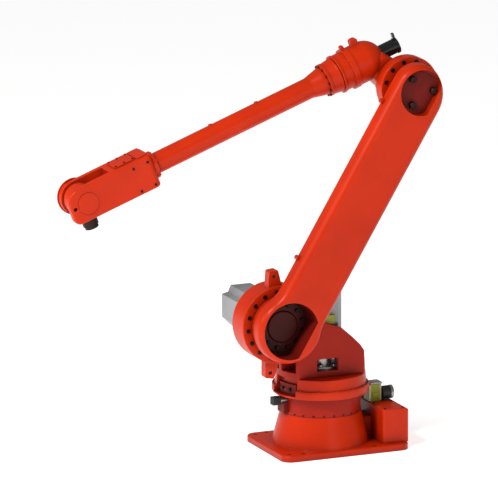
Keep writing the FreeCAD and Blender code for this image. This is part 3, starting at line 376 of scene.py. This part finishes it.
def turned_steel(name, face, groove):
    """Bright steel turned on a lathe: fine feed marks and an even grey shine.

    Feed marks are 0.3 mm apart and drawn 2.5 mm apart to show.
    """
    made, tree = material_tree(name)
    place = add(tree, "ShaderNodeTexCoord").outputs["Object"]
    marks = add(tree, "ShaderNodeTexWave", {"Vector": place, "Scale": 1 / 0.05, "Distortion": 1.5,
                                            "Detail": 2.0}, wave_type="RINGS")
    stain = add(tree, "ShaderNodeTexNoise", {"Vector": place, "Scale": 1 / 0.02, "Detail": 3.0})
    tone = add(tree, "ShaderNodeMix", {0: stain.outputs["Fac"], 6: srgb(face), 7: srgb(groove)},
               data_type="RGBA")
    soft_edge = add(tree, "ShaderNodeBevel", {"Radius": 1.0 * MM}, samples=3)
    skin = add(tree, "ShaderNodeBump", {"Height": marks.outputs["Fac"], "Distance": 0.05 * MM,
                                        "Strength": 0.4, "Normal": soft_edge.outputs[0]})
    rough = add(tree, "ShaderNodeMapRange", {"Value": stain.outputs["Fac"], "To Min": 0.24,
                                             "To Max": 0.42})
    metal = add(tree, "ShaderNodeBsdfPrincipled", {
        "Base Color": tone.outputs[2], "Metallic": 1.0, "Roughness": rough.outputs[0],
        "Normal": skin.outputs[0]})
    add(tree, "ShaderNodeOutputMaterial", {"Surface": metal.outputs[0]})
    return made


def moulded(name, face, deep, rough, grain_mm):
    """Moulded rubber or polyamide: one even colour with a fine spark-eroded grain."""
    made, tree = material_tree(name)
    place = add(tree, "ShaderNodeTexCoord").outputs["Object"]
    grain = add(tree, "ShaderNodeTexNoise", {"Vector": place, "Scale": 1 / (grain_mm * MM), "Detail": 3.0})
    cloud = add(tree, "ShaderNodeTexNoise", {"Vector": place, "Scale": 30.0, "Detail": 2.0})
    tone = add(tree, "ShaderNodeMix", {0: cloud.outputs["Fac"], 6: srgb(face), 7: srgb(deep)},
               data_type="RGBA")
    soft_edge = add(tree, "ShaderNodeBevel", {"Radius": 1.2 * MM}, samples=3)
    skin = add(tree, "ShaderNodeBump", {"Height": grain.outputs["Fac"], "Distance": 0.12 * MM,
                                        "Strength": 0.4, "Normal": soft_edge.outputs[0]})
    sheen = add(tree, "ShaderNodeMapRange", {"Value": grain.outputs["Fac"], "To Min": rough - 0.08,
                                             "To Max": rough + 0.08})
    body = add(tree, "ShaderNodeBsdfPrincipled", {
        "Base Color": tone.outputs[2], "Roughness": sheen.outputs[0], "IOR": 1.52,
        "Normal": skin.outputs[0]})
    add(tree, "ShaderNodeOutputMaterial", {"Surface": body.outputs[0]})
    return made


STEEL = turned_steel("lathe_turned_steel", "#B4B2AE", "#8E8A86")
RUBBER = moulded("moulded_black_rubber", "#232827", "#161A1A", 0.72, 2.0)
dress("stop_bracket", "base", DARK_RED)
dress("stop_bush", "base", STEEL)
dress("stop_buffer", "base", RUBBER)

# ---------------------------------------------------------------- connection box and its plugs
# A folded steel box behind the pedestal, in the arm's enamel. On it stand a rectangular power
# plug of olive polyamide under a pale lid and a round black signal plug with a steel ring.
OLIVE = moulded("moulded_olive_polyamide", "#A3AD08", "#7C8606", 0.42, 2.5)
PALE = moulded("moulded_pale_polyamide", "#D9D7BC", "#C4C2A6", 0.45, 2.5)
PALE_GREY = moulded("moulded_light_grey_polyamide", "#C9CCCB", "#B0B4B3", 0.45, 2.5)
BLACK_PLASTIC = moulded("moulded_black_polyamide", "#1C1D1E", "#101112", 0.48, 2.0)


EDGE_ROUND = 1.5          # on small moulded blocks


def blocks(name, body, material, boxes_mm):
    """Small moulded or milled blocks with rounded edges, given by two corners in millimetres."""
    work = bmesh.new()
    for low, high in boxes_mm:
        size = Vector(high) - Vector(low)
        middle = (Vector(high) + Vector(low)) / 2
        grown = Matrix.Translation(middle) @ Matrix.Diagonal((*size, 1.0))
        bmesh.ops.create_cube(work, size=1.0, matrix=grown)
    bmesh.ops.bevel(work, geom=work.edges[:], offset=EDGE_ROUND, segments=3, profile=0.5, affect="EDGES")
    bmesh.ops.transform(work, matrix=Matrix.Scale(MM, 4), verts=work.verts)
    bmesh.ops.recalc_face_normals(work, faces=work.faces)
    smooth_by_angle(work)
    mesh = bpy.data.meshes.new(name)
    work.to_mesh(mesh)
    work.free()
    mesh.materials.append(material)
    piece = bpy.data.objects.new(name, mesh)
    bpy.context.scene.collection.objects.link(piece)
    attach(piece, body)
    return piece


def corners_mm(node):
    """Lowest and highest corner of a construction solid, in millimetres."""
    low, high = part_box(node)
    return Vector(low) / MM, Vector(high) / MM


dress("connection_box", "base", RED)
dress("box_rear_cover", "base", RED)
dress("power_connector", "base", OLIVE)
dress("power_connector_cap", "base", PALE_GREY)
dress("signal_connector", "base", BLACK_PLASTIC)
dress("signal_connector_ring", "base", STEEL)

box_low, box_high = corners_mm("connection_box")
box_mid = (box_low + box_high) / 2
screws("box_rear_screws", "base", "rows",
       seat((box_low.x - 5.8, 0, box_mid.z - 4), (-1, 0, 0), (0, 1, 0)), Length=0.376, Width=0.128,
       Along=5, Across=2, Head_radius=0.005, Head_height=0.004, Key_radius=0.0024)
screws("box_lid_screws", "base", "rows", seat((box_mid.x, 0, box_high.z - 0.2), UP, (1, 0, 0)), Length=0.088,
       Width=0.372, Along=2, Across=4, Head_radius=0.005, Head_height=0.0035, Key_radius=0.0024)
plug_low, plug_high = corners_mm("power_connector")
plug_edges = [((x, plug_high.y - 3, plug_low.z + 2), (x + 7, plug_high.y + 1.5, plug_high.z - 2))
              for x in (plug_low.x, plug_high.x - 7)]
blocks("power_plug_edges", "base", PALE, plug_edges)
blocks("power_plug_latches", "base", OLIVE, [
    ((plug_low.x + 14, plug_high.y - 1, plug_low.z + 12), (plug_low.x + 46, plug_high.y + 4, plug_low.z + 40)),
    ((plug_low.x + 14, plug_low.y - 4, plug_low.z + 12), (plug_low.x + 46, plug_low.y + 1, plug_low.z + 40))])
cap_low, cap_high = corners_mm("power_connector_cap")
blocks("power_plug_lid_rib", "base", PALE_GREY,
       [((cap_low.x + 8, cap_low.y + 8, cap_high.z - 0.5), (cap_high.x - 8, cap_high.y + 20, cap_high.z + 4))])

# ---------------------------------------------------------------- turret
# The turning table and the hollow upright housing, both cast iron in the same enamel; the housing's copy is
# darker, as painted shade from the arm. The clamp in the table's pocket is in dark red on black screws, and
# the cover over the gear is turned steel.
CLAMP_SCREWS_FROM = 196.6  # the clamp's screw heads stand outside this radius
dress("turret_skirt", "turret", RED)
clamp = dress("skirt_pocket_bracket", "turret", DARK_RED)
clamp.data.materials.append(BLACK_STEEL)
for face in clamp.data.polygons:
    if math.hypot(face.center.x, face.center.y) > CLAMP_SCREWS_FROM * MM:
        face.material_index = 1
# The housing takes the darker enamel: painted shade where the arm's shadow falls.
dress("turret_casting", "turret", PAINTED_SHADE_RED)
dress("axis1_gear_cover", "turret", STEEL)
lip_top = corners_mm("turret_skirt")[1].z - 51.5
screws("table_screws", "turret", "ring", seat((0, 0, lip_top), UP, (1, 0.35, 0)),
       Ring_radius=0.2145, Head_radius=0.004, Head_height=0.004, Key_radius=0.0018, Count=16,
       material=RED, slot="red_paint")
boss_top = corners_mm("axis1_gear_cover")[0].z + 22.5
half_pitch = math.radians(22.5)
screws("gear_cover_screws", "turret", "ring",
       seat((0, 0, boss_top), UP, (math.cos(half_pitch), math.sin(half_pitch), 0)),
       Ring_radius=0.082, Head_radius=0.0078, Head_height=0.004, Key_radius=0.004, Count=8)

# ---------------------------------------------------------------- servo motors
# Square servo motors with die-cast aluminium bodies in matt grey paint. Their corners are notched
# for the long screws, and a shallow seam parts the resolver cover from the body.


def motor_paint(name, face, deep):
    """Matt grey powder coat baked on die-cast aluminium: even, with a fine dry grain.

    The powder's grain is 0.5 mm and drawn 3 mm wide to show.
    """
    made, tree = material_tree(name)
    place = add(tree, "ShaderNodeTexCoord").outputs["Object"]
    grain = add(tree, "ShaderNodeTexNoise", {"Vector": place, "Scale": 1 / 0.003, "Detail": 2.0})
    cloud = add(tree, "ShaderNodeTexNoise", {"Vector": place, "Scale": 9.0, "Detail": 3.0})
    tone = add(tree, "ShaderNodeMix", {0: cloud.outputs["Fac"], 6: srgb(face), 7: srgb(deep)},
               data_type="RGBA")
    soft_edge = add(tree, "ShaderNodeBevel", {"Radius": 2.5 * MM}, samples=4)
    skin = add(tree, "ShaderNodeBump", {"Height": grain.outputs["Fac"], "Distance": 0.15 * MM,
                                        "Strength": 0.3, "Normal": soft_edge.outputs[0]})
    shell = add(tree, "ShaderNodeBsdfPrincipled", {
        "Base Color": tone.outputs[2], "Metallic": 0.15, "Roughness": 0.46,
        "Normal": skin.outputs[0]})
    add(tree, "ShaderNodeOutputMaterial", {"Surface": shell.outputs[0]})
    return made


GREY = motor_paint("grey_powder_coat_on_aluminium", "#9C9EA0", "#86888A")
for node in ("axis1_motor", "axis1_motor_end_cover", "axis2_motor", "axis2_motor_flange",
             "axis2_motor_end_cover"):
    dress(node, "turret", GREY)
dress("axis1_power_plug", "turret", OLIVE)
dress("axis1_signal_plug", "turret", BLACK_PLASTIC)
cover_low, cover_high = corners_mm("axis2_motor_end_cover")
cover_mid = (cover_low + cover_high) / 2
screws("axis2_motor_cover_screws", "turret", "rows",
       seat((cover_mid.x, cover_low.y, cover_mid.z - 18), (0, -1, 0), (1, 0, 0)), Length=0.128,
       Width=0.100, Along=2, Across=2, Head_radius=0.0055, Head_height=0.004, Key_radius=0.0026)

# ---------------------------------------------------------------- gear housing of the shoulder
# The cast drum that carries the lower arm, with two lifting ears and sixteen socket screws in
# its face, their heads flush. The turning output of the gear shows in its bore.
swing = next(j for j in frame["joints"] if j["name"] == "axis2_swing")
AXIS2 = Vector(swing["pos_m"]) / MM
DRUM_SCREWS = 16
FIRST_DRUM_SCREW = math.radians(-5.2)
dress("axis2_gear_housing", "turret", RED)
dress("axis2_gear_shaft", "lower_arm_body", STEEL)
drum_front = corners_mm("axis2_gear_housing")[1].y
screws("shoulder_drum_screws", "turret", "ring",
       seat((AXIS2.x, drum_front - 0.5, AXIS2.z), TOWARDS_ARM,
            (math.cos(FIRST_DRUM_SCREW), 0, math.sin(FIRST_DRUM_SCREW))),
       Ring_radius=0.153, Head_radius=0.0098, Head_height=0.003, Key_radius=0.0045, Count=DRUM_SCREWS)

# ---------------------------------------------------------------- lower arm
# One hollow iron casting with a deep round hub over the shoulder gear and a shallow pocket over the
# elbow gear. The bolt ring, the domed cap and the three large screws are bare or blackened steel.
ARM_LEAN = 31.25          # degrees back from upright
ARM_LENGTH = 1216.0
HUB_POCKET_SHADE_R = 132.5      # inside this radius the pocket walls are dark red as painted shade
ELBOW_OFFSET = -9.5       # elbow axis from the line of the shoulder axis
ARM = Matrix.Translation(AXIS2 * MM) @ Matrix.Rotation(math.radians(-ARM_LEAN), 4, "Y")
arm = dress("lower_arm", "lower_arm_body", RED)
# The dark red second finish is painted shade on the hub pocket's walls.
arm.data.materials.append(DARK_RED)
arm_face = corners_mm("lower_arm")[1].y
for face in arm.data.polygons:
    from_axis = Vector((face.center.x, face.center.z)) / MM - Vector((AXIS2.x, AXIS2.z))
    if from_axis.length < HUB_POCKET_SHADE_R and face.center.y < (arm_face - 4.0) * MM:
        face.material_index = 1
dress("arm_lugs", "lower_arm_body", RED)
dress("hub_bearing_ring", "lower_arm_body", MAROON)
dress("hub_gear_cap", "lower_arm_body", MAROON)
dress("elbow_gear_plate", "lower_arm_body", DARK_RED)
dress("elbow_pivot", "lower_arm_body", STEEL)
HUB_FLOOR = arm_face - 118.0
ELBOW_FLOOR = arm_face - 46.0
screws("elbow_pocket_screws", "lower_arm_body", "ring",
       seat((ELBOW_OFFSET, ELBOW_FLOOR + 6.0, ARM_LENGTH), TOWARDS_ARM,
            (math.cos(math.radians(29)), 0, math.sin(math.radians(29))), ARM),
       Ring_radius=0.068, Head_radius=0.0162, Head_height=0.0165, Key_radius=0.0075, Count=3)
screws("hub_ring_screws", "lower_arm_body", "ring",
       seat((0, HUB_FLOOR + 10.0, 0), TOWARDS_ARM,
            (math.cos(math.radians(15)), 0, math.sin(math.radians(15))), ARM),
       Ring_radius=0.097, Head_radius=0.0094, Head_height=0.0105, Key_radius=0.005, Count=12)

# ---------------------------------------------------------------- elbow
# The gear drum, the tapering hub behind it and the domed barrel that carries the forearm's drive,
# cast in one and enamelled. A black cable tube leaves the back of the barrel.
elbow_joint = next(j for j in frame["joints"] if j["name"] == "axis3_swing")
AXIS3 = Vector(elbow_joint["pos_m"]) / MM
ELBOW_SCREWS = 12
dress("elbow_drum", "elbow", RED)
dress("elbow_housing", "elbow", RED)
dress("nose_flange", "elbow", RED)
GLOSSY_BLACK = moulded("glossy_black_drawn_polyamide", "#131415", "#0C0C0D", 0.26, 4.0)
dress("rear_tube", "elbow", GLOSSY_BLACK)
dress("rear_tube_flange", "elbow", GLOSSY_BLACK)
dress("axis3_motor", "elbow", GREY)
elbow_front = corners_mm("elbow_drum")[1].y
screws("elbow_drum_screws", "elbow", "ring",
       seat((AXIS3.x, elbow_front - 0.5, AXIS3.z), TOWARDS_ARM,
            (math.cos(math.radians(15)), 0, math.sin(math.radians(15)))),
       Ring_radius=0.120, Head_radius=0.0095, Head_height=0.003, Key_radius=0.0045, Count=ELBOW_SCREWS)

# ---------------------------------------------------------------- forearm
# A turned ring that rolls in the elbow's nose, a long cast tube that tapers to the wrist and a round
# flange, all enamelled, each held to the next by a ring of socket screws.
roll = next(j for j in frame["joints"] if j["name"] == "axis4_roll")
DIP = math.radians(20.5)
FOREARM = Matrix.Translation(roll["pos_m"]) @ Matrix.Rotation(DIP, 4, "Y")
FORWARD = (1, 0, 0)
ROLL_RING_FRONT = 324.5    # along the forearm, from the foot of the elbow
WRIST_DISC_REAR = 1205.5
for node in ("roll_ring", "forearm_tube", "wrist_disc"):
    dress(node, "forearm", RED)
screws("roll_ring_screws", "forearm", "ring", seat((ROLL_RING_FRONT, 0, 0), FORWARD, UP, FOREARM),
       Ring_radius=0.0715, Head_radius=0.0048, Head_height=0.005, Key_radius=0.0023, Count=12)
screws("wrist_disc_screws", "forearm", "ring", seat((WRIST_DISC_REAR, 0, 0), (-1, 0, 0), UP, FOREARM),
       Ring_radius=0.056, Head_radius=0.0045, Head_height=0.005, Key_radius=0.0022, Count=10)

# ---------------------------------------------------------------- wrist casting
# The block behind the fork houses the wrist's belts under flat cover plates, and its two cheeks
# hold the tilting axis. Cover plates and caps are enamelled like the casting.
AXIS5 = 1576.5            # along the forearm
COVER_MIDDLE = 1345.75
COVER_TOP = 85.0
CHEEK_FACE = 81.0
for node in ("wrist_fork", "wrist_top_cover", "wrist_top_flange", "wrist_far_cap", "wrist_near_cap"):
    dress(node, "forearm", RED)
screws("wrist_cover_screws", "forearm", "rows", seat((COVER_MIDDLE, 0, COVER_TOP), UP, FORWARD, FOREARM),
       Length=0.084, Width=0.088, Along=3, Across=2, Head_radius=0.0042, Head_height=0.0035,
       Key_radius=0.002)
screws("wrist_side_screws", "forearm", "rows", seat((1290, CHEEK_FACE, -4), TOWARDS_ARM, FORWARD, FOREARM),
       Length=0.072, Width=0.112, Along=2, Across=2, Head_radius=0.0055, Head_height=0.003,
       Key_radius=0.0028)
screws("wrist_far_cap_screws", "forearm", "ring", seat((AXIS5, -90, 0), (0, -1, 0), UP, FOREARM),
       Ring_radius=0.074, Head_radius=0.0042, Head_height=0.003, Key_radius=0.002, Count=8)

# ---------------------------------------------------------------- tilting block and tool flange
# The block between the cheeks is enamelled. The tool flange below it is turned, hardened and
# blackened, with a centring bore and four tapped holes.
dress("wrist_block", "wrist", RED)
dress("tool_flange", "tool", BLACK_STEEL)
